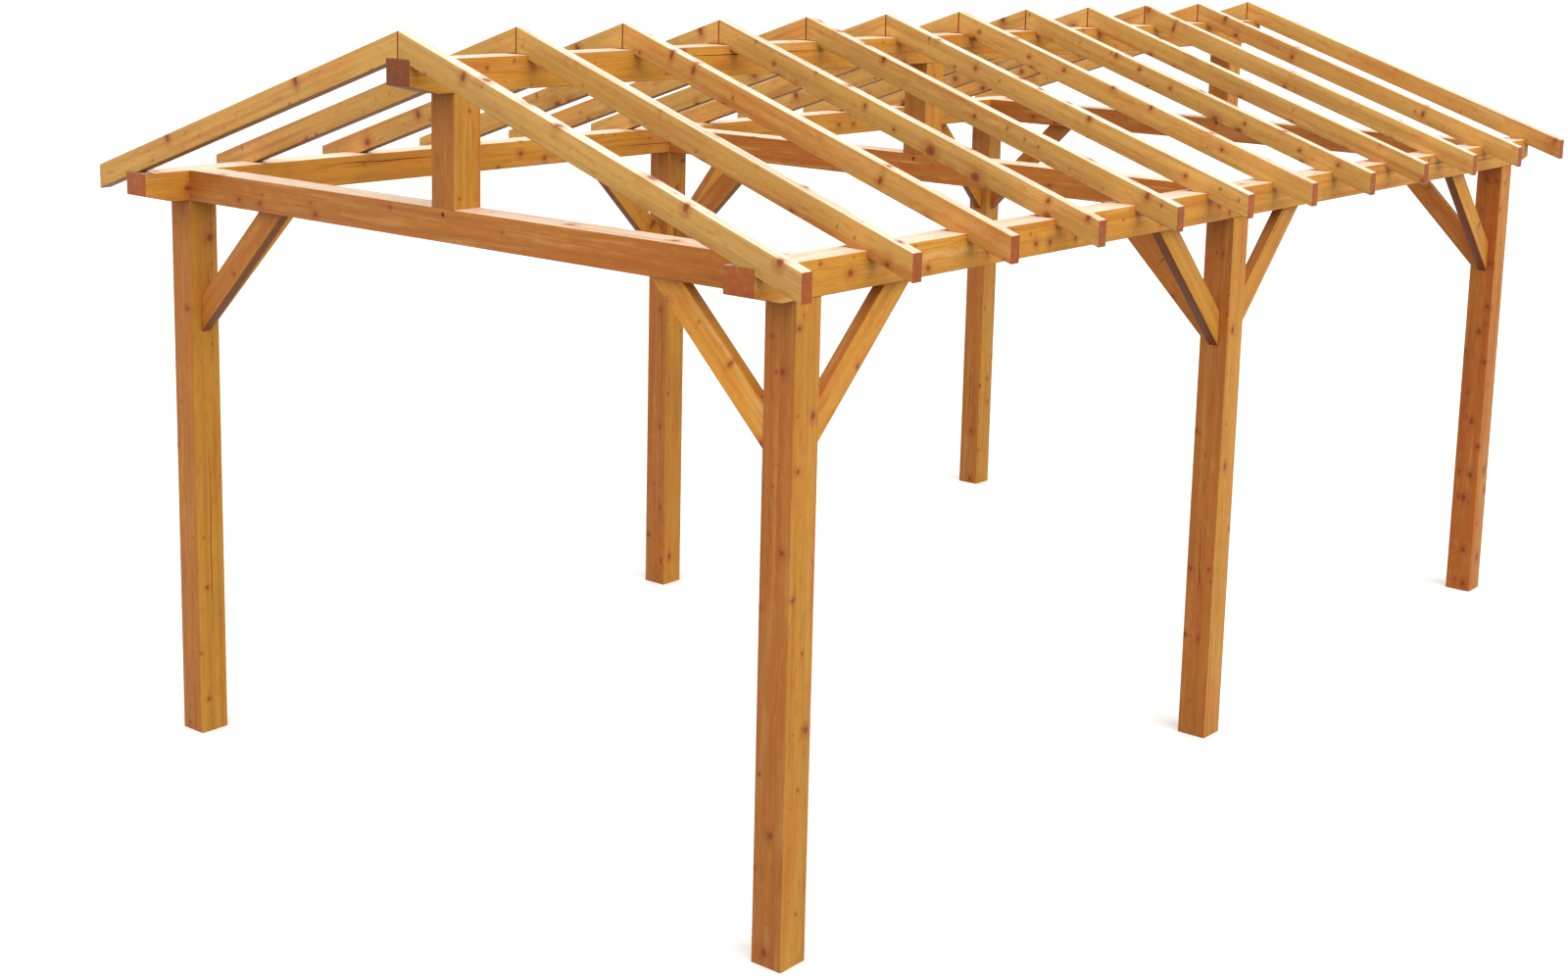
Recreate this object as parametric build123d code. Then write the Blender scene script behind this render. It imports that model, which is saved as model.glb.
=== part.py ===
from build123d import *
import math
import os

os.makedirs("parts", exist_ok=True)

# An open timber carport: six posts, two eaves plates and a ridge purlin, three tie beams
# with king posts, knee braces, and bare pairs of rafters. X runs across the gable, Y along
# the ridge and Z up. The origin is on the ground in the middle of the plan. Millimetres.

# Overall sizes
overall_width = 3200.0  # across the outside faces of the posts
bay_length = 2780.0  # from one post's centre to the next along a side
post_height = 2200.0  # from the ground to the underside of the eaves plates
roof_pitch = 19.0  # degrees
head_projection = 200.0  # plates and purlin past the outside faces of the end posts
eaves_overhang = 180.0  # rafters past the outside faces of the plates

# Timber sections
post_size = 125.0
plate_width = 125.0
plate_depth = 120.0
purlin_width = 120.0
purlin_depth = 120.0
tie_width = 125.0
tie_depth = 120.0
king_width = 120.0
king_thickness = 125.0
brace_thickness = 45.0
brace_depth = 100.0
rafter_width = 50.0
rafter_depth = 90.0
arris = 3.0  # planed corner along every timber

# Roof
rafter_pairs = 12
plate_notch = 22.0  # plumb height of the birdsmouth over each plate
ridge_notch = 18.0  # plumb height of the notch over the purlin's corners
ridge_gap = 5.0  # open joint between the two rafters of a pair

# Braces
brace_reach = 530.0  # from the corner to the tip, along the post and along the beam

# Rounded-down heads of the plates and the purlin: a long chamfer under each end
head_rise = 30.0
head_run = 130.0

# Mortise and tenon joints
tenon_thickness = 40.0
tenon_shoulder = 20.0  # at each end of a tenon's long side
tenon_gap = 2.0  # free depth past the tip of a tenon
post_tenon_height = 30.0
tie_tenon_length = 60.0
tie_tenon_height = 60.0
tie_tenon_cover = 15.0  # wood left over the tie beam's tenon
king_foot_tenon = 50.0
king_head_tenon = 40.0
brace_tenon_thickness = 26.0
brace_tenon_length = 30.0
brace_tenon_toe = 25.0  # shoulder at the acute tip of a brace

# Places worked out from the sizes
outer_x = overall_width / 2
post_x = outer_x - post_size / 2
post_inner_x = outer_x - post_size
plate_inner_x = outer_x - plate_width
plate_top = post_height + plate_depth
tie_underside = plate_top - tie_depth
end_post_face_y = bay_length + post_size / 2
head_y = end_post_face_y + head_projection
eaves_x = outer_x + eaves_overhang
slope = math.tan(math.radians(roof_pitch))
rafter_plumb = rafter_depth / math.cos(math.radians(roof_pitch))
rafter_foot = plate_top - plate_notch  # underside of a rafter at the plate's outside face
ridge_underside = rafter_foot + outer_x * slope
eaves_underside = rafter_foot - eaves_overhang * slope
ridge_face_x = ridge_gap / 2  # plumb end of a rafter at the ridge
ridge_face_underside = ridge_underside - ridge_face_x * slope
purlin_top = ridge_underside - purlin_width / 2 * slope + ridge_notch
purlin_underside = purlin_top - purlin_depth
rafter_spacing = (2 * head_y - rafter_width) / (rafter_pairs - 1)
brace_inner_reach = brace_reach - brace_depth * math.sqrt(2)

# The rows of posts, from the front to the back, and the two sides
rows = {"front": -bay_length, "middle": 0.0, "back": bay_length}
sides = {"left": -1, "right": 1}


def block(x, y, z):
    """A box between three pairs of ends."""
    size = [abs(pair[1] - pair[0]) for pair in (x, y, z)]
    centre = [(pair[0] + pair[1]) / 2 for pair in (x, y, z)]
    return Pos(*centre) * Box(*size)


def about(centre, width):
    """The two ends of a width that is centred on a place."""
    return (centre - width / 2, centre + width / 2)


def planed(timber, along):
    """The timber with its long corners planed off."""
    return chamfer(timber.edges().filter_by(along), arris)


def headed_beam(width, top, depth):
    """A beam along Y, centred on X, with a long chamfer under the head at each end."""
    bottom = top - depth
    outline = Polyline(
        (-head_y, top),
        (head_y, top),
        (head_y, bottom + head_rise),
        (head_y - head_run, bottom),
        (-head_y + head_run, bottom),
        (-head_y, bottom + head_rise),
        close=True,
    )
    side = make_face(Plane.YZ * outline)
    return planed(extrude(side, width / 2, both=True), Axis.Y)


def corner(side, row, run):
    """Where a brace's post meets its beam: the place and the heading of the brace.

    The run is 0 for the brace across the carport, and -1 or 1 for one along the side.
    """
    sign, y = sides[side], rows[row]
    if run == 0:
        return Location((sign * post_inner_x, y, tie_underside), (0, 0, 90 + 90 * sign))
    return Location((sign * post_x, y + run * post_size / 2, post_height), (0, 0, 90 * run))


def brace_runs(row):
    """The braces of a post: one across, and along the side to each neighbour."""
    along = {"front": (1,), "middle": (-1, 1), "back": (-1,)}
    return (0,) + along[row]


def brace_tenons(length):
    """A brace's two tenons, at the origin corner, heading along X."""
    across = about(0, brace_tenon_thickness)
    span = (brace_inner_reach, brace_reach - brace_tenon_toe)
    into_post = block((-length, 0), across, (-span[1], -span[0]))
    into_beam = block(span, across, (0, length))
    return into_post, into_beam


def brace():
    """A knee brace at 45 degrees, in the origin corner and heading along X."""
    outline = Polyline(
        (0, -brace_reach),
        (brace_reach, 0),
        (brace_inner_reach, 0),
        (0, -brace_inner_reach),
        close=True,
    )
    side = make_face(Plane.XZ * outline)
    bar = extrude(side, brace_thickness / 2, both=True)
    bar = planed(bar, Axis((0, 0, 0), (1, 0, 1)))
    into_post, into_beam = brace_tenons(brace_tenon_length)
    return bar + into_post + into_beam


def brace_mortises(side, row, run):
    """The mortises of one brace: in its post, and in its beam."""
    place = corner(side, row, run)
    in_post, in_beam = brace_tenons(brace_tenon_length + tenon_gap)
    return place * in_post, place * in_beam


def post_tenon(side, row, height):
    """The tenon on a post's head, into the eaves plate."""
    return block(
        about(sides[side] * post_x, tenon_thickness),
        about(rows[row], post_size - 2 * tenon_shoulder),
        (post_height, post_height + height),
    )


def post(side, row):
    """A square post with the mortises of its braces."""
    shaft = block(
        about(sides[side] * post_x, post_size),
        about(rows[row], post_size),
        (0, post_height),
    )
    shaft = planed(shaft, Axis.Z)
    for run in brace_runs(row):
        shaft = shaft - brace_mortises(side, row, run)[0]
    return shaft + post_tenon(side, row, post_tenon_height)


def tie_tenon(side, row, length):
    """The tenon on a tie beam's end, into the inside face of the plate."""
    sign = sides[side]
    tenon_top = plate_top - tie_tenon_cover
    return block(
        (sign * plate_inner_x, sign * (plate_inner_x + length)),
        about(rows[row], tenon_thickness),
        (tenon_top - tie_tenon_height, tenon_top),
    )


def eaves_plate(side):
    """A plate on the three posts of a side, mortised for posts, tie beams and braces."""
    plate_x = sides[side] * (outer_x - plate_width / 2)
    plate = Pos(plate_x, 0, 0) * headed_beam(plate_width, plate_top, plate_depth)
    for row in rows:
        plate = plate - post_tenon(side, row, post_tenon_height + tenon_gap)
        plate = plate - tie_tenon(side, row, tie_tenon_length + tenon_gap)
        for run in brace_runs(row):
            if run != 0:
                plate = plate - brace_mortises(side, row, run)[1]
    return plate


def king_foot(row, depth):
    """The tenon on a king post's foot, into the tie beam."""
    return block(
        about(0, king_width - 2 * tenon_shoulder),
        about(rows[row], tenon_thickness),
        (plate_top - depth, plate_top),
    )


def king_head(row, height):
    """The tenon on a king post's head, into the ridge purlin."""
    return block(
        about(0, tenon_thickness),
        about(rows[row], king_thickness - 2 * tenon_shoulder),
        (purlin_underside, purlin_underside + height),
    )


def tie_beam(row):
    """A beam across the carport between the plates, level with their tops."""
    beam = block(
        (-plate_inner_x, plate_inner_x),
        about(rows[row], tie_width),
        (tie_underside, plate_top),
    )
    beam = planed(beam, Axis.X)
    beam = beam - king_foot(row, king_foot_tenon + tenon_gap)
    for side in sides:
        beam = beam - brace_mortises(side, row, 0)[1]
        beam = beam + tie_tenon(side, row, tie_tenon_length)
    return beam


def king_post(row):
    """The short post on the middle of a tie beam that carries the ridge purlin."""
    shaft = block(
        about(0, king_width),
        about(rows[row], king_thickness),
        (plate_top, purlin_underside),
    )
    shaft = planed(shaft, Axis.Z)
    return shaft + king_foot(row, king_foot_tenon) + king_head(row, king_head_tenon)


def ridge_purlin():
    """The beam under the ridge, mortised for the three king posts."""
    beam = headed_beam(purlin_width, purlin_top, purlin_depth)
    for row in rows:
        beam = beam - king_head(row, king_head_tenon + tenon_gap)
    return beam


def rafter(side, number):
    """A rafter with plumb ends, notched over its plate and over the ridge purlin."""
    sign = sides[side]
    y = about(-head_y + rafter_width / 2 + number * rafter_spacing, rafter_width)
    outline = Polyline(
        (sign * ridge_face_x, ridge_face_underside),
        (sign * ridge_face_x, ridge_face_underside + rafter_plumb),
        (sign * eaves_x, eaves_underside + rafter_plumb),
        (sign * eaves_x, eaves_underside),
        close=True,
    )
    face = make_face(Plane.XZ * outline)
    bar = extrude(face, rafter_width / 2, both=True)
    bar = planed(bar, Axis((0, 0, 0), (sign, 0, -slope)))
    bar = Pos(0, (y[0] + y[1]) / 2, 0) * bar
    over_plate = block(
        (sign * plate_inner_x, sign * outer_x),
        y,
        (post_height, plate_top),
    )
    over_purlin = block(
        about(0, purlin_width),
        y,
        (purlin_underside, purlin_top),
    )
    return bar - over_plate - over_purlin


def save(name, shape):
    """One file for one node."""
    export_step(shape, "parts/" + name + ".step")


for side in sides:
    save("eaves_plate_" + side, eaves_plate(side))
    for row in rows:
        save("post_" + row + "_" + side, post(side, row))
        knees = [corner(side, row, run) * brace() for run in brace_runs(row)]
        save("braces_" + row + "_" + side, Compound(children=knees))
    for number in range(rafter_pairs):
        save("rafter_" + side + "_" + str(number + 1), rafter(side, number))

for row in rows:
    save("tie_beam_" + row, tie_beam(row))
    save("king_post_" + row, king_post(row))

save("ridge_purlin", ridge_purlin())
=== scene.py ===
import math
import random

import bmesh
import bpy
from mathutils import Matrix, Vector

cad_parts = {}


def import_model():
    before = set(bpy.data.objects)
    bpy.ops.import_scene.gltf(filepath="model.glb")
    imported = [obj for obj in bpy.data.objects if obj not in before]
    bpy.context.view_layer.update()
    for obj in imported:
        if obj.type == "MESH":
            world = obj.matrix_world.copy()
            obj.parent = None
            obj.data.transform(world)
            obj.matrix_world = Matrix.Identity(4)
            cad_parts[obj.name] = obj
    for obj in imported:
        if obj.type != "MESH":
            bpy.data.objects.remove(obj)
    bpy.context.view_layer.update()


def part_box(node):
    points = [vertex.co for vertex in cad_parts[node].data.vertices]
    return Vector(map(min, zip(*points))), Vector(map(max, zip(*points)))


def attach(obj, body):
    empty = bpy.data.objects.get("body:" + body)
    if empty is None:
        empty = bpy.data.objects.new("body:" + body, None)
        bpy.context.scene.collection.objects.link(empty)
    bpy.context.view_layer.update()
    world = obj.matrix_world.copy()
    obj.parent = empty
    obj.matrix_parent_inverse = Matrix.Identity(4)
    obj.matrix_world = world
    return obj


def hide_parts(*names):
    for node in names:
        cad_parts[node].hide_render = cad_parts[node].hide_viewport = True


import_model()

# An open timber carport. Each timber is built again round its solid, with softened arrises,
# drying checks and a grain of its own. Metres, in the frame of the solids: X runs across the
# gable, Y along the ridge and Z up.

# What the boxes of the solids don't give
BRACE_REACH = 0.53
BRACE_DEPTH = 0.1
BRACE_THICKNESS = 0.045
HEAD_RISE = 0.03
HEAD_RUN = 0.13
ROOF_SLOPE = math.tan(math.radians(19.0))
RAFTER_DEPTH = 0.09
PLATE_NOTCH = 0.022
RAFTER_PAIRS = 12

# Softened corners, along a timber and round its ends
ARRIS = 0.0035
END_ARRIS = 0.0012
ARRIS_STEPS = 3
LENGTHWAYS = 0.7  # slope past which an edge counts as one along the timber

# Drying checks: thin wedges that wander along one face of a timber
CHECK_WIDTH = 0.0036
CHECK_DEPTH = 0.014
CHECK_STATIONS = 7
CHECK_WANDER = 0.0025
CHECK_TIP = 0.05  # share of the width that is left at each tip
CHECK_LIFT = 0.001  # the cutter starts this far outside the face
CHECK_RUN = (0.12, 0.32)  # length, as a share of the timber's
CHECK_START = 0.42  # furthest start from the timber's middle, as a share of its length
CHECK_END = 0.45  # and furthest end
CHECK_ASIDE = 0.28  # furthest from the middle of the face, as a share of the bar's thinner side
LONG_CHECK = (0.36, 1.20)  # heights of the one on the inner face of the front left post

# The peg through each tie beam, which holds the king post's foot
PEG_RADIUS = 0.008
PEG_SIDES = 24
PEG_ARRIS = 0.001
PEG_ARRIS_STEPS = 2
PEG_DROP = 0.022  # its middle is this far below the top of the beam
PEG_PLAY = 0.0006  # its hole is this much wider, all round
PEG_DEPTH = 0.003  # its ends are this far in from the faces of the beam

ROWS = ("front", "middle", "back")
SIDES = {"left": -1, "right": 1}
X, Y, Z = Vector((1, 0, 0)), Vector((0, 1, 0)), Vector((0, 0, 1))

# Places taken from the solids
right_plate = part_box("eaves_plate_right")
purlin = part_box("ridge_purlin")
front_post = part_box("post_front_right")
plate_under, plate_top = right_plate[0].z, right_plate[1].z
plate_inner, outer_x = right_plate[0].x, right_plate[1].x
purlin_under, purlin_top = purlin[0].z, purlin[1].z
plate_width = outer_x - plate_inner
purlin_width = purlin[1].x - purlin[0].x
post_size = front_post[1].x - front_post[0].x
row_y = {row: sum(v.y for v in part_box("post_" + row + "_right")) / 2 for row in ROWS}


# Materials

# Glazes as they look on the screen, from 0 to 255: painted sunlit on faces turned to the long
# sides, painted shaded elsewhere, and where red
FRAME_GLAZE = {"sunny": (208, 148, 52), "shaded": (186, 116, 46), "red": (196, 100, 34)}
RAFTER_GLAZE = {"sunny": (212, 158, 74), "shaded": (216, 168, 88), "red": (216, 132, 50)}
END_GLAZE = {"sunny": (184, 98, 43), "shaded": (168, 90, 40), "red": (168, 72, 30)}

# What lies over the glaze: its colour on the screen, and how strong it is at most
VEIL = ((226, 180, 112), 0.70)
RESIN = ((190, 80, 30), 0.40)
BROWN_MOTTLE = ((192, 88, 34), 0.42)
YELLOW_MOTTLE = ((204, 156, 66), 0.35)
END_RINGS = ((104, 40, 22), 0.55)
KNOT_HALO = ((176, 84, 36), 0.30)
PIN_KNOT = ((128, 56, 26), 0.60)

# Other colours on the screen, and how strong a knot is
LATE_WOOD = (126, 54, 20)
# The pale colour of a top and of the late wood in it: partly weather bleaching, partly painted sky
# light
BLEACHED_AND_SKY_LIT = (254, 243, 224)
BLEACHED_AND_SKY_LIT_LATE = (226, 176, 124)
KNOT_RIM = (150, 72, 32)
KNOT_HEART = (104, 44, 22)
KNOT_STRENGTH = 0.85

# What is left of the light on a face that looks down, and how strong that is
UNDERSIDE = (0.32, 0.24, 0.22, 1)
UNDERSIDE_STRENGTH = 0.9

# Patterns drawn out along the grain: how often each changes per metre along and across the
# grain, where along the noise it starts, and its detail and roughness
FIBRE = (9.0, 520.0, 0.0, 3.0, 0.6)
STREAK = (0.9, 46.0, 0.0, 2.0, 0.55)
BLOTCH = (2.6, 9.0, 0.0, 2.0, 0.5)
PATCH = (1.87, 8.5, 0.0, 1.0, 0.5)
RESIN_RUN = (0.8, 30.0, 17.0, 2.0, 0.5)
FADED = (1.6, 24.0, 43.0, 2.0, 0.6)
FLECK = (26.0, 150.0, 71.0, 2.0, 0.7)
MOTTLE = (15.0, 52.0, 91.0, 3.0, 0.65)
PALE_TOP_PATTERN = (7.0, 60.0, 0.0, 3.0, 0.65)

# Values of a pattern at which a thing begins to show, and at which it shows in full
FADED_SHOWS = (0.52, 0.74)
RESIN_SHOWS = (0.56, 0.72)
BROWN_SHOWS = (0.50, 0.75)
YELLOW_SHOWS = (0.48, 0.28)
FLECK_SHOWS = (0.64, 0.76)
# Pale tops: partly weather bleaching, partly painted sky light
PALE_TOP_SHOWS = (0.2, 0.55, 0.66, 1.0)  # the weather has bleached at least two thirds
PATCH_CONTRAST = 1.3

# Slopes of a face, from -1 to 1, at which its look begins to change and at which it has changed
# Painted sunlight and shade: how far a face turned to either long side gets the sunlit colour
LEFT_SUN = (-0.2, -0.8, 0.0, 0.7)  # the left side of a timber gets less of it
RIGHT_SUN = (0.2, 0.8)
# Tops: pale with weather bleaching and painted sky light
TOP_SLOPE = (0.75, 0.93)
# Faces that look down: painted shade
UNDER_SLOPE = (-0.3, -0.7)

# How far each thing darkens the wood. A pattern goes through the last two numbers while its
# value goes through the first two.
LATE_DARK = 0.42
STREAK_DARK = (0.38, 0.72, -0.12, 0.44)
FIBRE_DARK = (0.3, 0.7, -0.14, 0.16)
BLOTCH_DARK = (0.3, 0.75, -0.05, 0.25)
FLECK_DARK = 0.45
KNOT_DARK = 0.34
PIN_DARK = 0.25

# Growth rings
RING_WIDTH = 0.0048
LATE_BEGINS = (0.35, 0.93)  # shares of a ring over which the late wood comes
LATE_ENDS = (1.0, 0.94)  # and goes
RING_BULGE = 0.012  # how far the rings are pushed aside round a knot
RING_CHANGE = 38.0  # how often they turn fainter and stronger, per metre across the grain
RING_FAINTNESS = (0.3, 0.7, 0.45, 1.0)

# The trunk was never quite straight: how often its grain changes course per metre along and
# across, the detail of that, and twice the furthest that it strays
SWAY = (0.9, 4.0, 1.0, 0.05)
WANDER = (5.0, 30.0, 2.0, 0.006)

# Knots are set out on a trunk unrolled at this radius, and look longer along the grain. Of each
# kind: the room for one, the smallest radius, and how much larger it can be.
FRAME_GIRTH = 0.07
RAFTER_GIRTH = 0.105
KNOT_LENGTHENING = 0.75
KNOT_RAGGEDNESS = 0.004  # how far the outline of one strays
KNOT_RAGS = 170.0  # and how often, per metre
KNOT_SIZES = (0.11, 0.0040, 0.0085)
PIN_SIZES = (0.060, 0.0014, 0.0030)
PIN_CHANCE = 0.22
KNOT_SHARE = 0.58  # of its radius, to which the timber's share of knots is added

# Shares of a knot's radius at which its outline, its heart and the wood round it begin to show,
# and at which they show in full
KNOT_OUTLINE = (1.2, 0.85)
KNOT_MIDDLE = (0.7, 0.1)
KNOT_ROUND = (3.6, 0.8)

# The surface
ROUGHNESS = (0.25, 0.75, 0.48, 0.64)
SPECULAR = 0.28
BUMP_STRENGTH = 0.55
BUMP_HEIGHT = 0.0006
LATE_HEIGHT = 0.35
FIBRE_HEIGHT = 0.55
KNOT_HEIGHT = 0.5


def linear(red, green, blue):
    """A colour given as it looks on the screen, from 0 to 255."""

    def one(value):
        value /= 255
        return value / 12.92 if value <= 0.04045 else ((value + 0.055) / 1.055) ** 2.4

    return (one(red), one(green), one(blue), 1.0)


class Net:
    """Short ways to add shader nodes. A number, a colour or a socket can go into any input."""

    def __init__(self, owner):
        owner.use_nodes = True
        self.owner = owner
        self.tree = owner.node_tree
        self.tree.nodes.clear()

    def add(self, kind, inputs=None, **settings):
        node = self.tree.nodes.new(kind)
        for key, value in settings.items():
            setattr(node, key, value)
        for key, value in (inputs or {}).items():
            self.put(node.inputs[key], value)
        return node

    def put(self, socket, value):
        if isinstance(value, bpy.types.NodeSocket):
            self.tree.links.new(value, socket)
        else:
            socket.default_value = value

    def math(self, operation, a, b=0.0, clamp=False):
        node = self.add("ShaderNodeMath", {0: a, 1: b}, operation=operation, use_clamp=clamp)
        return node.outputs[0]

    def times(self, a, b):
        return self.math("MULTIPLY", a, b)

    def total(self, *parts, clamp=False):
        """The sum of these. If it is clamped, it is kept between 0 and 1."""
        result = parts[0]
        for part in parts[1:-1]:
            result = self.math("ADD", result, part)
        return self.math("ADD", result, parts[-1], clamp=clamp)

    def vector(self, operation, a, b=(0, 0, 0)):
        node = self.add("ShaderNodeVectorMath", {0: a, 1: b}, operation=operation)
        return node.outputs["Value" if operation == "LENGTH" else "Vector"]

    def mix(self, factor, a, b, blend="MIX"):
        node = self.add("ShaderNodeMix", data_type="RGBA", blend_type=blend)
        self.put(node.inputs[0], factor)
        self.put(node.inputs[6], a)
        self.put(node.inputs[7], b)
        return node.outputs[2]

    def layer(self, under, share, colour, strength):
        """A colour from the screen, laid over what is under it where the share is above 0."""
        return self.mix(self.times(share, strength), under, linear(*colour))

    def ramp(self, value, low, high, to_low=0.0, to_high=1.0, smooth=True):
        node = self.add(
            "ShaderNodeMapRange",
            {"Value": value, 1: low, 2: high, 3: to_low, 4: to_high},
            interpolation_type="SMOOTHSTEP" if smooth else "LINEAR",
        )
        return node.outputs[0]

    def noise(self, place, scale, detail=2.0, rough=0.5, colour=False):
        node = self.add(
            "ShaderNodeTexNoise",
            {"Vector": place, "Scale": scale, "Detail": detail, "Roughness": rough},
        )
        return node.outputs["Color" if colour else "Fac"]

    def split(self, value):
        return self.add("ShaderNodeSeparateXYZ", {0: value}).outputs

    def seen(self):
        """1 where the camera sees this, straight, mirrored or through glass, and 0 elsewhere."""
        paths = self.add("ShaderNodeLightPath").outputs
        mirrored = self.math("MAXIMUM", paths["Is Glossy Ray"], paths["Is Transmission Ray"])
        return self.math("MAXIMUM", paths["Is Camera Ray"], mirrored)

    def finish(self, output, surface):
        """Links the surface to its output, and gives back what the nodes belong to."""
        self.tree.links.new(surface.outputs[0], self.add(output).inputs["Surface"])
        return self.owner


class Spruce(Net):
    """Glazed spruce, from the pith outwards.

    The grain attribute of a mesh runs along X from the pith. Its finish attribute has each
    timber's own lightness, redness, share of knots, and strength of bleaching and painted sky light.
    """

    def __init__(self, name, girth):
        super().__init__(bpy.data.materials.new(name))
        self.grain = self.add("ShaderNodeAttribute", attribute_name="grain").outputs["Vector"]
        own = self.add("ShaderNodeAttribute", attribute_name="finish").outputs
        self.lightness, redness, self.knotty = self.split(own["Vector"])
        self.redness = self.math("SUBTRACT", redness, 1.0)
        self.bleaching_and_sky_light = own["Alpha"]
        self.normal = self.split(self.add("ShaderNodeNewGeometry").outputs["Normal"])
        self.fibre = self.pattern(*FIBRE)
        self.unroll(girth)
        self.knot, self.heart, self.halo = self.knots(*KNOT_SIZES, self.knotty)
        self.pin, _, self.pin_halo = self.knots(*PIN_SIZES, PIN_CHANCE)
        self.late = self.late_wood()

    def drawn_out(self, along, across, start=0.0):
        """Places that change this often per metre along and across the grain."""
        place = self.vector("MULTIPLY", self.grain, (along, across, across))
        return self.vector("ADD", place, (start, 0, 0)) if start else place

    def pattern(self, along, across, start, detail, rough):
        return self.noise(self.drawn_out(along, across, start), 1.0, detail, rough)

    def drift(self, along, across, detail, reach):
        """How far the grain strays sideways from a straight line, up to half this reach."""
        noise = self.noise(self.drawn_out(along, across), 1.0, detail, colour=True)
        noise = self.vector("SUBTRACT", noise, (0.5, 0.5, 0.5))
        return self.vector("MULTIPLY", noise, (0, reach, reach))

    def unroll(self, girth):
        """Branches run out from the pith, so knots are set out along it and round it."""
        place = self.split(self.grain)
        around = self.times(self.math("ARCTAN2", place[1], place[2]), girth)
        along = self.times(place[0], KNOT_LENGTHENING)
        self.unrolled = self.add("ShaderNodeCombineXYZ", {0: along, 1: around}).outputs[0]
        ragged = self.math("SUBTRACT", self.noise(self.grain, KNOT_RAGS), 0.5)
        self.ragged = self.times(ragged, KNOT_RAGGEDNESS)

    def knots(self, cell, smallest, spread, chance):
        """The knots of one kind, their hearts, and the wood round them.

        Each cell of the unrolled trunk has room for one, which is there by this chance.
        """
        cells = self.add(
            "ShaderNodeTexVoronoi",
            {"Vector": self.unrolled, "Scale": 1 / cell, "Randomness": 1.0},
            voronoi_dimensions="2D",
        )
        lot = self.split(cells.outputs["Color"])
        distance = self.times(cells.outputs["Distance"], cell)
        distance = self.math("ADD", distance, self.ragged)
        here = self.math("LESS_THAN", lot[0], chance)
        radius = self.math("ADD", self.times(self.times(lot[1], lot[1]), spread), smallest)
        radius = self.times(radius, self.math("ADD", self.knotty, KNOT_SHARE))
        share = self.math("DIVIDE", distance, radius)
        parts = (KNOT_OUTLINE, KNOT_MIDDLE, KNOT_ROUND)
        return [self.times(here, self.ramp(share, *reach)) for reach in parts]

    def late_wood(self):
        """Growth rings: pale early wood, then a thin dark line of late wood."""
        drift = self.vector("ADD", self.drift(*SWAY), self.drift(*WANDER))
        bent = self.vector("ADD", self.grain, drift)
        across = self.vector("MULTIPLY", bent, (0, 1, 1))
        bulge = self.times(self.times(self.halo, self.halo), RING_BULGE)
        radius = self.math("ADD", self.vector("LENGTH", across), bulge)
        step = self.math("FRACT", self.math("DIVIDE", radius, RING_WIDTH))
        late = self.times(self.ramp(step, *LATE_BEGINS), self.ramp(step, *LATE_ENDS))
        change = self.noise(across, RING_CHANGE, 0.0)
        return self.times(late, self.ramp(change, *RING_FAINTNESS))

    def glaze(self, sunny, shaded, red):
        """Painted sun and shade: faces turned to the long sides get the sunlit colour, the rest a
        redder shaded one.
        """
        # A negative redness gives a whole timber more of the painted sunlit colour
        golden = self.math("MAXIMUM", self.times(self.redness, -1.0), 0.0)
        left_side = self.ramp(self.normal[0], *LEFT_SUN)
        right_side = self.ramp(self.normal[0], *RIGHT_SUN)
        sun = self.total(left_side, right_side, golden, clamp=True)
        base = self.mix(sun, linear(*shaded), linear(*sunny))
        patch = self.times(self.math("SUBTRACT", self.pattern(*PATCH), 0.5), PATCH_CONTRAST)
        tint = self.total(patch, self.redness, clamp=True)
        return self.mix(tint, base, linear(*red))

    def veiled(self, base):
        """Where the glaze has gone thin and pale."""
        faded = self.ramp(self.pattern(*FADED), *FADED_SHOWS)
        return self.layer(base, self.times(faded, self.bleaching_and_sky_light), *VEIL)

    def stained(self, base):
        """Runs of resin, and a mottle of darker and lighter spots."""
        base = self.layer(base, self.ramp(self.pattern(*RESIN_RUN), *RESIN_SHOWS), *RESIN)
        mottle = self.pattern(*MOTTLE)
        base = self.layer(base, self.ramp(mottle, *BROWN_SHOWS), *BROWN_MOTTLE)
        return self.layer(base, self.ramp(mottle, *YELLOW_SHOWS), *YELLOW_MOTTLE)

    def darkness(self):
        """How far rings, streaks, fibres, blotches, flecks and knots darken the wood."""
        return self.total(
            self.times(self.late, LATE_DARK),
            self.ramp(self.pattern(*STREAK), *STREAK_DARK, smooth=False),
            self.ramp(self.fibre, *FIBRE_DARK, smooth=False),
            self.ramp(self.pattern(*BLOTCH), *BLOTCH_DARK),
            self.times(self.ramp(self.pattern(*FLECK), *FLECK_SHOWS), FLECK_DARK),
            self.times(self.pin_halo, PIN_DARK),
            self.times(self.halo, KNOT_DARK),
            clamp=True,
        )

    def darkened(self, base, darkness):
        """Where the wood is darkest, it is half way to the colour of late wood."""
        dark = self.mix(0.5, base, linear(*LATE_WOOD))
        return self.mix(darkness, base, dark)

    def sawn_along(self, wood, darkness):
        """The long faces: tops pale with weather bleaching and painted sky light, and knots."""
        # Painted sky light and bleaching: tops turn pale in patches
        top = self.ramp(self.normal[2], *TOP_SLOPE)
        pale_top_pattern = self.ramp(self.pattern(*PALE_TOP_PATTERN), *PALE_TOP_SHOWS)
        bleach_and_sky_light = self.times(self.times(top, pale_top_pattern), self.bleaching_and_sky_light)
        pale_top_colour = self.mix(darkness, linear(*BLEACHED_AND_SKY_LIT), linear(*BLEACHED_AND_SKY_LIT_LATE))
        wood = self.mix(bleach_and_sky_light, wood, pale_top_colour)
        wood = self.layer(wood, self.halo, *KNOT_HALO)
        knot_colour = self.mix(self.heart, linear(*KNOT_RIM), linear(*KNOT_HEART))
        wood = self.mix(self.times(self.knot, KNOT_STRENGTH), wood, knot_colour)
        return self.layer(wood, self.pin, *PIN_KNOT)

    def sawn_across(self, wood):
        """The ends, where the rings show as dark arcs."""
        return self.layer(wood, self.late, *END_RINGS)

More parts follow.
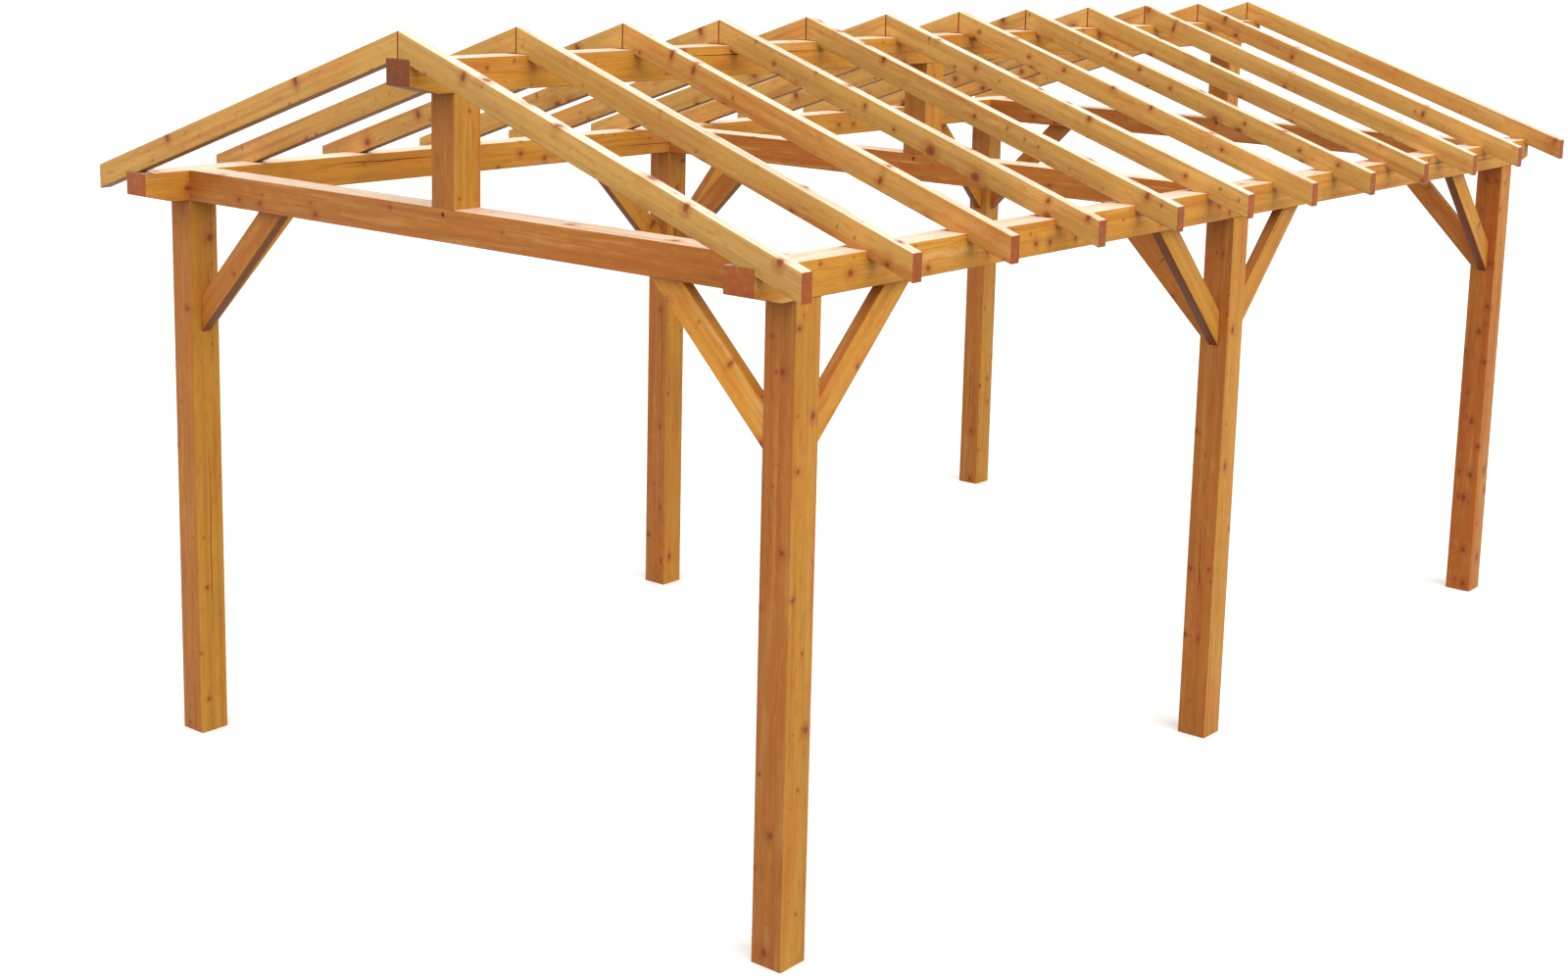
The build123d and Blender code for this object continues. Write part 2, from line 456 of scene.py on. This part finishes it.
    def surfaced(self, wood):
        """The finished material: painted shade below, in the timber's own lightness, with a raised
        grain.
        """
        under = self.times(self.ramp(self.normal[2], *UNDER_SLOPE), UNDERSIDE_STRENGTH)
        wood = self.mix(under, wood, self.mix(1.0, wood, UNDERSIDE, blend="MULTIPLY"))
        tone = self.add("ShaderNodeCombineXYZ", {axis: self.lightness for axis in range(3)})
        wood = self.mix(1.0, wood, tone.outputs[0], blend="MULTIPLY")
        rough = self.ramp(self.fibre, *ROUGHNESS, smooth=False)
        height = self.total(
            self.times(self.late, LATE_HEIGHT),
            self.times(self.fibre, FIBRE_HEIGHT),
            self.times(self.knot, KNOT_HEIGHT),
        )
        bump = self.add(
            "ShaderNodeBump",
            {"Height": height, "Strength": BUMP_STRENGTH, "Distance": BUMP_HEIGHT},
        )
        surface = self.add(
            "ShaderNodeBsdfPrincipled",
            {
                "Base Color": wood,
                "Roughness": rough,
                "Normal": bump.outputs[0],
                "Specular IOR Level": SPECULAR,
            },
        )
        return self.finish("ShaderNodeOutputMaterial", surface)


def long_grain(name, girth, glaze):
    """Spruce as it looks on the long faces of a timber."""
    spruce = Spruce(name, girth)
    base = spruce.stained(spruce.veiled(spruce.glaze(**glaze)))
    darkness = spruce.darkness()
    return spruce.surfaced(spruce.sawn_along(spruce.darkened(base, darkness), darkness))


def end_grain(name, girth, glaze):
    """Spruce as it looks on the ends of a timber and inside its cuts."""
    spruce = Spruce(name, girth)
    base = spruce.stained(spruce.glaze(**glaze))
    wood = spruce.darkened(base, spruce.darkness())
    return spruce.surfaced(spruce.sawn_across(wood))


FRAME_WOOD = long_grain("glazed_spruce", FRAME_GIRTH, FRAME_GLAZE)
RAFTER_WOOD = long_grain("pale_glazed_spruce", RAFTER_GIRTH, RAFTER_GLAZE)
END_WOOD = end_grain("end_grain", FRAME_GIRTH, END_GLAZE)


# Timbers

draw = random.Random(12)

# How far the timbers differ from each other by chance
NOISE_RUN = 40  # metres of pattern in which the grain of a timber can start
TONE_SPREAD = 0.06
RED_SPREAD = 0.15
RAFTER_RED = (-0.15, 0.12)
HEART_SPREAD = 0.2  # furthest that a pith inside a timber is off its middle, as a share of its width
PITH_ASIDE = (0.6, 1.4)  # how far aside one outside it is, as shares of the width
PITH_BELOW = (-0.9, -0.6)  # and how far below, as shares of the depth

# Painted shade deep inside a cut
CUT_SHADE = 0.3  # share of its lightness that is left deep inside a cut
END_SLOPE = 0.5  # a face that looks along the timber more than this is an end
END_PLACE = 0.8  # if it is also past this share of the half length
ROUNDED = math.radians(35)  # corners flatter than this are shaded round


def longways(along, up, middle):
    """The place of a timber: its length, its width and its depth as the columns of a matrix."""
    side = up.cross(along)
    return Matrix(
        (
            (along.x, side.x, up.x, middle.x),
            (along.y, side.y, up.y, middle.y),
            (along.z, side.z, up.z, middle.z),
            (0, 0, 0, 1),
        )
    )


def heart(size):
    """A pith inside the timber, as in a post sawn round the heart."""
    across = draw.uniform(-HEART_SPREAD, HEART_SPREAD) * size
    return across, draw.uniform(-HEART_SPREAD, HEART_SPREAD) * size


def outside(width, depth):
    """A pith outside the timber, as in a board sawn from the side of the log."""
    across = draw.choice((-1, 1)) * draw.uniform(*PITH_ASIDE) * width
    return across, draw.uniform(*PITH_BELOW) * depth


def closed(shape, name):
    """The mesh of a closed shape, with its faces turned outwards."""
    bmesh.ops.recalc_face_normals(shape, faces=shape.faces)
    mesh = bpy.data.meshes.new(name)
    shape.to_mesh(mesh)
    shape.free()
    return mesh


def shown(name, data):
    """An object of the scene that holds this mesh, light or camera."""
    piece = bpy.data.objects.new(name, data)
    bpy.context.scene.collection.objects.link(piece)
    return piece


def finished(piece):
    """The mesh of a piece with its modifiers applied."""
    graph = bpy.context.evaluated_depsgraph_get()
    mesh = bpy.data.meshes.new_from_object(piece.evaluated_get(graph))
    piece.modifiers.clear()
    piece.data = mesh
    return mesh


def check(face, start, length, across, width, depth):
    """A drying check as a cutter: a thin wedge that wanders along one face of a bar.

    The faces are "near" and "far", at the ends of the width, and "top" and "bottom".
    """

    def corner(along, sideways, out):
        return {
            "near": (along, -width / 2 - out, sideways),
            "far": (along, width / 2 + out, sideways),
            "top": (along, sideways, depth / 2 + out),
            "bottom": (along, sideways, -depth / 2 - out),
        }[face]

    shape = bmesh.new()
    rings = []
    for number in range(CHECK_STATIONS):
        share = number / (CHECK_STATIONS - 1)
        swell = math.sin(math.pi * share) + CHECK_TIP
        middle = across + draw.uniform(-CHECK_WANDER, CHECK_WANDER)
        opening = CHECK_WIDTH * swell / 2
        lips = ((middle - opening, CHECK_LIFT), (middle + opening, CHECK_LIFT))
        root = (middle, -CHECK_DEPTH * swell)
        along = start + length * share
        rings.append([shape.verts.new(corner(along, *place)) for place in (*lips, root)])
    for ring, following in zip(rings, rings[1:]):
        for a, b in ((0, 1), (1, 2), (2, 0)):
            shape.faces.new((ring[a], ring[b], following[b], following[a]))
    shape.faces.new(rings[0])
    shape.faces.new(rings[-1])
    return closed(shape, "check")


def some_check(faces, length, width, depth):
    """One drying check somewhere on these faces of a bar."""
    run = draw.uniform(*CHECK_RUN) * length
    start = draw.uniform(-CHECK_START, CHECK_START) * length
    start = min(start, CHECK_END * length - run)
    across = draw.uniform(-CHECK_ASIDE, CHECK_ASIDE) * min(width, depth)
    return check(draw.choice(faces), start, run, across, width, depth)


def round_bar(radius, length, arris=0.0):
    """A round bar along X."""
    shape = bmesh.new()
    bmesh.ops.create_cone(
        shape,
        segments=PEG_SIDES,
        radius1=radius,
        radius2=radius,
        depth=length,
        cap_ends=True,
        matrix=Matrix.Rotation(math.pi / 2, 4, "Y"),
    )
    if arris:
        rims = [edge for edge in shape.edges if edge.verts[0].co.x * edge.verts[1].co.x > 0]
        bmesh.ops.bevel(shape, geom=rims, offset=arris, segments=PEG_ARRIS_STEPS, affect="EDGES")
    return closed(shape, "round_bar")


def cut(piece, cutters):
    """Takes the cutters out of a piece. The faces that they leave are in the end wood."""
    for mesh in cutters:
        mesh.materials.append(END_WOOD)
        tool = shown("cutter", mesh)
        less = piece.modifiers.new("cut", "BOOLEAN")
        less.operation = "DIFFERENCE"
        less.solver = "EXACT"
        less.object = tool
        finished(piece)
        bpy.data.objects.remove(tool)


def bar(name, outline, width):
    """A bar with this outline in its length and depth, and its outer edges marked for softening."""
    shape = bmesh.new()
    near = shape.faces.new([shape.verts.new((u, -width / 2, v)) for u, v in outline])
    out = bmesh.ops.extrude_face_region(shape, geom=[near])
    far = [v for v in out["geom"] if isinstance(v, bmesh.types.BMVert)]
    bmesh.ops.translate(shape, verts=far, vec=(0, width, 0))
    bmesh.ops.recalc_face_normals(shape, faces=shape.faces)
    weight = shape.edges.layers.float.new("bevel_weight_edge")
    for edge in shape.edges:
        if edge.is_convex:
            run = edge.verts[1].co - edge.verts[0].co
            lengthways = abs(run.x) > LENGTHWAYS * run.length
            edge[weight] = 1.0 if lengthways else END_ARRIS / ARRIS
    return closed(shape, name)


def add_bar(name, outline, width, wood, cutters):
    """A bar as a piece of the scene, with softened edges and its cuts."""
    mesh = bar(name, outline, width)
    mesh.materials.append(wood)
    mesh.materials.append(END_WOOD)
    piece = shown(name, mesh)
    soft = piece.modifiers.new("arris", "BEVEL")
    soft.limit_method = "WEIGHT"
    soft.width = ARRIS
    soft.segments = ARRIS_STEPS
    soft.use_clamp_overlap = True
    finished(piece)
    cut(piece, cutters)
    return piece


def dress(mesh, pith, tone=0.0, red=0.0, knots=0.42, bleach_and_sky_light=0.4, end_tone=0.0):
    """Gives a mesh that lies along X its grain, its finish and its end grain.

    What a cutter left has the end wood already, and painted shade darkens it away from the
    surface. A colour attribute holds nothing below 0, so lightness and redness are kept 1 higher.
    """
    start = draw.uniform(0, NOISE_RUN)
    mesh.attributes.new("grain", "FLOAT_VECTOR", "POINT")
    mesh.attributes.new("finish", "FLOAT_COLOR", "POINT")
    grain, finish = mesh.attributes["grain"], mesh.attributes["finish"]
    tone += 1 + draw.uniform(-TONE_SPREAD, TONE_SPREAD)
    red += 1 + draw.uniform(-RED_SPREAD, RED_SPREAD)
    faces = [face for face in mesh.polygons if face.material_index == 0]
    surface = {number for face in faces for number in face.vertices}
    for vertex in mesh.vertices:
        u, v, w = vertex.co
        shade = 1.0 if vertex.index in surface else CUT_SHADE
        grain.data[vertex.index].vector = (u + start, v - pith[0], w - pith[1])
        finish.data[vertex.index].color = (tone * shade, red, knots, bleach_and_sky_light)
    reach = max(abs(vertex.co.x) for vertex in mesh.vertices)
    for face in faces:
        if abs(face.normal.x) > END_SLOPE and abs(face.center.x) > END_PLACE * reach:
            face.material_index = len(mesh.materials) - 1
            for number in face.vertices:
                finish.data[number].color = (tone + end_tone, red, knots, bleach_and_sky_light)
    for face in mesh.polygons:
        face.use_smooth = True
    mesh.set_sharp_from_angle(angle=ROUNDED)


def timber(node, slot, outline, width, place, wood, pith, cutters=(), name=None, **finish):
    """A bar set in its place, in its finish, instead of the solid of its node."""
    piece = add_bar(name or node + "_timber", outline, width, wood, cutters)
    dress(piece.data, pith, **finish)
    piece.data.transform(place)
    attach(piece, "root")
    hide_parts(node)


# Outlines, in the length and the depth of a timber


def box_outline(length, depth):
    return [
        (-length / 2, -depth / 2),
        (length / 2, -depth / 2),
        (length / 2, depth / 2),
        (-length / 2, depth / 2),
    ]


def headed_outline(low, high):
    """A beam along Y with a long chamfer under each head."""
    reach, depth = high.y, (high.z - low.z) / 2
    return [
        (-reach, depth),
        (-reach, HEAD_RISE - depth),
        (-reach + HEAD_RUN, -depth),
        (reach - HEAD_RUN, -depth),
        (reach, HEAD_RISE - depth),
        (reach, depth),
    ]


def brace_outline():
    """A brace at 45 degrees, cut to the faces of its post and its beam."""
    half = BRACE_REACH / math.sqrt(2)
    inner = (BRACE_REACH - BRACE_DEPTH * math.sqrt(2)) / math.sqrt(2)
    depth = BRACE_DEPTH / 2
    return [(-half, -depth), (half, -depth), (inner, depth), (-inner, depth)]


# A rafter of the right side is drawn round this point of its own, before it goes to its place
# along the ridge
RAFTER_MIDDLE = Vector((0.9, 0, plate_top + 0.25))
RAFTER_ALONG = Vector((1, 0, -ROOF_SLOPE)).normalized()
RAFTER_UP = Vector((ROOF_SLOPE, 0, 1)).normalized()


def rafter_outline():
    """A rafter with plumb ends, notched over the purlin and over its plate."""
    low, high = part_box("rafter_right_1")
    ridge_x, eaves_x = low.x, high.x
    half_purlin = purlin_width / 2
    plumb = RAFTER_DEPTH * math.sqrt(1 + ROOF_SLOPE**2)
    ridge_under = plate_top - PLATE_NOTCH + outer_x * ROOF_SLOPE

    def under(x):
        return ridge_under - x * ROOF_SLOPE

    corners = [
        (ridge_x, under(ridge_x) + plumb),
        (ridge_x, under(ridge_x)),
        (half_purlin, purlin_top),
        (half_purlin, under(half_purlin)),
        (plate_inner, under(plate_inner)),
        ((ridge_under - plate_top) / ROOF_SLOPE, plate_top),
        (outer_x, plate_top),
        (outer_x, under(outer_x)),
        (eaves_x, under(eaves_x)),
        (eaves_x, under(eaves_x) + plumb),
    ]
    offsets = [Vector((x, 0, z)) - RAFTER_MIDDLE for x, z in corners]
    return [(offset.dot(RAFTER_ALONG), offset.dot(RAFTER_UP)) for offset in offsets]


# The pieces of the carport

# Faces that can have a check. On a tie beam it is always at the back, and that is written twice
# so that the choice draws as it does for the other beams.
BEAM_FACES = ("near", "far")
BACK_FACES = ("far", "far")
POST_FACES = ("near", "far", "top", "bottom")
PLATE_LOOK = {"left": {"tone": 0.17, "bleach_and_sky_light": 0.8}, "right": {"tone": 0.10, "bleach_and_sky_light": 0.8}}
PURLIN_LOOK = {"tone": 0.14, "red": 0.04, "bleach_and_sky_light": 0.7, "end_tone": -0.49}
TIE_LOOK = {
    "front": {"tone": 0.05, "bleach_and_sky_light": 0.7},
    "middle": {"tone": 0.18, "bleach_and_sky_light": 0.9},
    "back": {"tone": 0.05, "bleach_and_sky_light": 0.7},
}
POST_LOOK = {
    ("front", "left"): {"tone": -0.05},
    ("back", "right"): {"tone": -0.05, "red": 0.25, "knots": 0.85},
}
PEG_LOOK = {"tone": -0.5, "end_tone": -0.1}
RAFTER_LOOK = {"knots": 0.66, "bleach_and_sky_light": 0.94, "end_tone": -0.08}

# A brace runs across the carport, or along its side, onward from the front or back to it
BRACE_RUNS = {"front": (0, 1), "middle": (0, -1, 1), "back": (0, -1)}
BRACE_NAMES = {0: "across", 1: "onward", -1: "back"}
BRACE_OUT = (BRACE_REACH - BRACE_DEPTH / math.sqrt(2)) / 2  # how far its middle is out and down
BRACE_LOOK = {  # the two nearest are more golden than the rest
    ("front", "right", 0): {"tone": 0.38, "red": -0.9, "bleach_and_sky_light": 0.9},
    ("front", "right", 1): {"tone": 0.14},
}
OTHER_BRACE_LOOK = {"tone": 0.04}


def beam_checks(size):
    """Three drying checks in a beam of this size that runs along Y."""
    return [some_check(BEAM_FACES, size.y, size.x, size.z) for _ in range(3)]


def eaves_plate(side):
    low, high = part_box("eaves_plate_" + side)
    timber(
        "eaves_plate_" + side,
        "beam_timber",
        headed_outline(low, high),
        plate_width,
        longways(Y, Z, (low + high) / 2),
        FRAME_WOOD,
        heart(plate_width),
        beam_checks(high - low),
        **PLATE_LOOK[side],
    )


def ridge_purlin():
    low, high = purlin
    timber(
        "ridge_purlin",
        "beam_timber",
        headed_outline(low, high),
        purlin_width,
        longways(Y, Z, (low + high) / 2),
        FRAME_WOOD,
        heart(purlin_width),
        beam_checks(high - low),
        **PURLIN_LOOK,
    )


def post(row, side):
    """A post, less its tenon. The front left one has a long check as well."""
    low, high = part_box("post_" + row + "_" + side)
    checks = [some_check(POST_FACES, plate_under, post_size, post_size) for _ in range(2)]
    if (row, side) == ("front", "left"):
        start, length = LONG_CHECK[0] - plate_under / 2, LONG_CHECK[1] - LONG_CHECK[0]
        checks.append(check("top", start, length, 0.0, post_size, post_size))
    middle = Vector(((low.x + high.x) / 2, (low.y + high.y) / 2, plate_under / 2))
    timber(
        "post_" + row + "_" + side,
        "post_timber",
        box_outline(plate_under, post_size),
        post_size,
        longways(Z, X, middle),
        FRAME_WOOD,
        heart(post_size),
        checks,
        **POST_LOOK.get((row, side), {}),
    )


def tie_beam(row):
    """A tie beam between the plates, less its tenons, with the hole of its peg."""
    low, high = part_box("tie_beam_" + row)
    size = high - low
    hole = round_bar(PEG_RADIUS + PEG_PLAY, 2 * size.y)
    hole.transform(Matrix.Rotation(math.pi / 2, 4, "Z"))
    hole.transform(Matrix.Translation((0, 0, size.z / 2 - PEG_DROP)))
    timber(
        "tie_beam_" + row,
        "beam_timber",
        box_outline(2 * plate_inner, size.z),
        size.y,
        longways(X, Z, Vector((0, row_y[row], (low.z + high.z) / 2))),
        FRAME_WOOD,
        heart(size.y),
        [hole, some_check(BACK_FACES, 2 * plate_inner, size.y, size.z)],
        **TIE_LOOK[row],
    )
    peg(row, size.y)


def peg(row, length):
    """Its dark ends show in the hole on both faces of the tie beam."""
    mesh = round_bar(PEG_RADIUS, length - 2 * PEG_DEPTH, PEG_ARRIS)
    mesh.materials.append(END_WOOD)
    dress(mesh, heart(PEG_RADIUS), **PEG_LOOK)
    mesh.transform(longways(Y, Z, Vector((0, row_y[row], plate_top - PEG_DROP))))
    piece = shown("king_post_peg_" + row, mesh)
    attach(piece, "root")


def king_post(row):
    """A king post, less its tenons."""
    low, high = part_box("king_post_" + row)
    timber(
        "king_post_" + row,
        "post_timber",
        box_outline(purlin_under - plate_top, high.x - low.x),
        high.y - low.y,
        longways(Z, X, Vector((0, row_y[row], (plate_top + purlin_under) / 2))),
        FRAME_WOOD,
        heart(high.x - low.x),
    )


def brace(row, side, run):
    """A knee brace. The run is 0 across the carport, and -1 or 1 along its side."""
    sign = SIDES[side]
    if run == 0:
        ahead = -sign * X
        corner = Vector((sign * (outer_x - post_size), row_y[row], plate_under))
    else:
        ahead = run * Y
        corner = Vector((sign * (outer_x - post_size / 2), row_y[row], plate_under))
        corner += run * post_size / 2 * Y
    middle = corner + BRACE_OUT * (ahead - Z)
    timber(
        "braces_" + row + "_" + side,
        "brace_timber",
        brace_outline(),
        BRACE_THICKNESS,
        longways((ahead + Z).normalized(), (Z - ahead).normalized(), middle),
        FRAME_WOOD,
        outside(BRACE_THICKNESS, BRACE_DEPTH),
        name="brace_" + row + "_" + side + "_" + BRACE_NAMES[run],
        **BRACE_LOOK.get((row, side, run), OTHER_BRACE_LOOK),
    )


def rafter(side, number):
    """A rafter. Those of the left side are turned round the ridge."""
    node = "rafter_" + side + "_" + str(number)
    low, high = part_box(node)
    place = longways(RAFTER_ALONG, RAFTER_UP, RAFTER_MIDDLE)
    if side == "left":
        place = Matrix.Rotation(math.pi, 4, "Z") @ place
    timber(
        node,
        "rafter_timber",
        rafter_outline(),
        high.y - low.y,
        Matrix.Translation((0, (low.y + high.y) / 2, 0)) @ place,
        RAFTER_WOOD,
        outside(high.y - low.y, RAFTER_DEPTH),
        red=draw.uniform(*RAFTER_RED),
        **RAFTER_LOOK,
    )


for side in SIDES:
    eaves_plate(side)
    for row in ROWS:
        post(row, side)

ridge_purlin()

for row in ROWS:
    tie_beam(row)
    king_post(row)

for side in SIDES:
    for row in ROWS:
        for run in BRACE_RUNS[row]:
            brace(row, side, run)

for side in SIDES:
    for number in range(1, RAFTER_PAIRS + 1):
        rafter(side, number)


# Floor, light and camera

FLOOR_REACH = 150
FLOOR_SEEN = (0.95, 0.95, 0.95, 1)  # as the camera sees it
FLOOR_GLOW = (0.30, 0.28, 0.26, 1)  # as it lights the timbers
FLOOR_LIFT = 0.12  # a little light of the floor's own keeps its shadows faint
WORLD_LIGHT = 0.56  # strength with which the white world lights the timbers

# The photograph's camera, worked out from the corners of the timbers. Its angles are radians.
CAMERA_PLACE = (5.7349, -7.9482, 3.3632)
CAMERA_YAW = 0.6870
CAMERA_PITCH = -0.1725
CAMERA_ROLL = 0.0231
CAMERA_LENS = 50.265
CAMERA_SHIFT = (0.0006, -0.1244)
SENSOR_WIDTH = 36
FAR_CLIP = 500


def studio_floor():
    """A plain pale floor, which is duller as a light than as the camera sees it."""
    net = Net(bpy.data.materials.new("studio_floor"))
    seen = net.seen()
    surface = net.add(
        "ShaderNodeBsdfPrincipled",
        {
            "Base Color": net.mix(seen, FLOOR_GLOW, FLOOR_SEEN),
            "Roughness": 1.0,
            "Specular IOR Level": 0.0,
            "Emission Color": (1.0, 1.0, 1.0, 1),
            "Emission Strength": net.times(seen, FLOOR_LIFT),
        },
    )
    mesh = bpy.data.meshes.new("studio_floor")
    side = 2 * FLOOR_REACH
    corners = [(x, y, 0) for x, y in box_outline(side, side)]
    mesh.from_pydata(corners, [], [(0, 1, 2, 3)])
    mesh.materials.append(net.finish("ShaderNodeOutputMaterial", surface))
    shown("studio_floor", mesh)


def world():
    """White where the camera sees it, and a little dimmer as a light."""
    net = Net(bpy.data.worlds.new("studio"))
    strength = net.ramp(net.seen(), 0.0, 1.0, WORLD_LIGHT, 1.0)
    light = net.add("ShaderNodeBackground", {"Color": (1, 1, 1, 1), "Strength": strength})
    bpy.context.scene.world = net.finish("ShaderNodeOutputWorld", light)


def sun(name, heading, strength, spread, colour=(1, 1, 1)):
    """A soft distant lamp that shines along its heading. Its spread is in degrees."""
    data = bpy.data.lights.new(name, "SUN")
    data.energy = strength
    data.angle = math.radians(spread)
    data.color = colour
    lamp = shown(name, data)
    lamp.rotation_mode = "QUATERNION"
    lamp.rotation_quaternion = Vector(heading).to_track_quat("-Z", "Y")


def camera():
    """The photograph's view."""
    level = math.cos(CAMERA_PITCH)
    ahead = Vector(
        (-math.sin(CAMERA_YAW) * level, math.cos(CAMERA_YAW) * level, math.sin(CAMERA_PITCH))
    )
    right = Vector((math.cos(CAMERA_YAW), math.sin(CAMERA_YAW), 0))
    up = right.cross(ahead)
    right, up = (
        math.cos(CAMERA_ROLL) * right + math.sin(CAMERA_ROLL) * up,
        math.cos(CAMERA_ROLL) * up - math.sin(CAMERA_ROLL) * right,
    )
    turn = Matrix((right, up, -ahead)).transposed().to_4x4()
    data = bpy.data.cameras.new("camera")
    data.sensor_width = SENSOR_WIDTH
    data.lens = CAMERA_LENS
    data.shift_x, data.shift_y = CAMERA_SHIFT
    data.clip_end = FAR_CLIP
    seat = shown("camera", data)
    seat.matrix_world = Matrix.Translation(CAMERA_PLACE) @ turn
    bpy.context.scene.camera = seat


studio_floor()
world()
sun("sun", (-0.75, 0.12, -0.62), strength=1.9, spread=70, colour=(1.0, 0.97, 0.92))
sun("sky", (0.1, 0.2, -1.0), strength=0.4, spread=60)
sun("front", (0.1, 0.9, -0.43), strength=0.9, spread=60)
sun("back", (0.55, -0.75, -0.45), strength=0.8, spread=70)
camera()
bpy.context.scene.view_settings.view_transform = "Standard"
